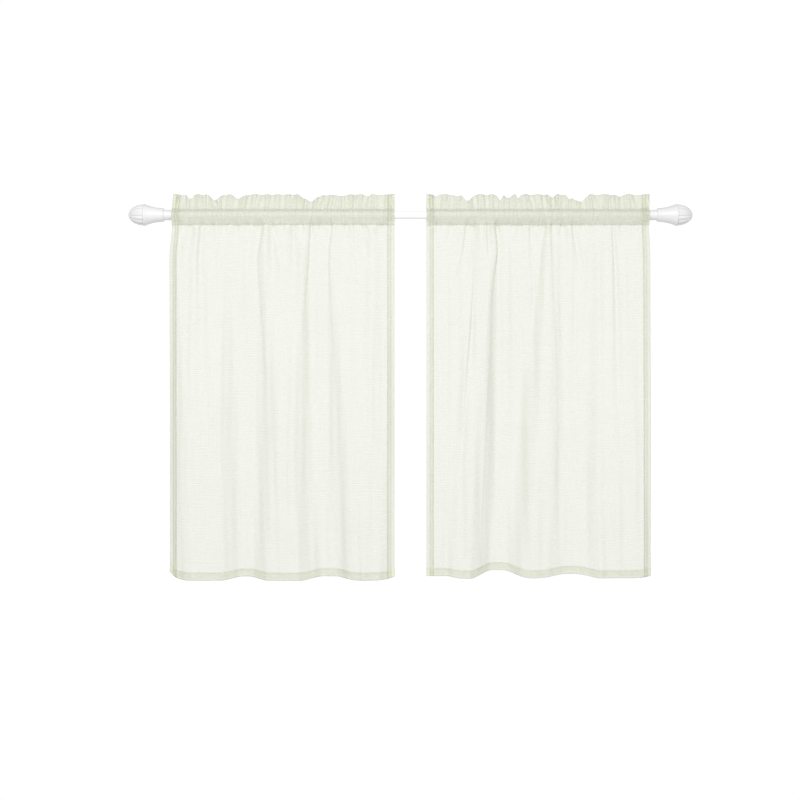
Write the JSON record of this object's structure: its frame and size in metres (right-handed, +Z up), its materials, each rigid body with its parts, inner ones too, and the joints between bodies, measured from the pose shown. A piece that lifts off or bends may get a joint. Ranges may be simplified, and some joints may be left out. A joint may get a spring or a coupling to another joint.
{
  "type": "cafe curtain pair on curtain rod",
  "caption": "Pair of sheer cafe curtain panels with ruffled rod-pocket headers, gathered on a round rod with fluted bulb finials.",
  "frame": {"origin": "middle of the rod's axis, halfway between the two panels", "axes": "+X along the rod, to the right as seen from the room; +Y away from the room, towards the window; +Z up"},
  "size_m": [1.342, 0.052, 0.9175],
  "materials": {
    "sheer_cloth": "sheer linen-look weave, pale greenish ivory",
    "rod_paint": "satin white paint",
    "finial_resin": "satin white resin"
  },
  "bodies": {
    "root": {"panel_left": "sheer_cloth", "panel_right": "sheer_cloth", "rod": "rod_paint", "finial_left": "finial_resin", "finial_right": "finial_resin"}
  },
  "joints": []
}
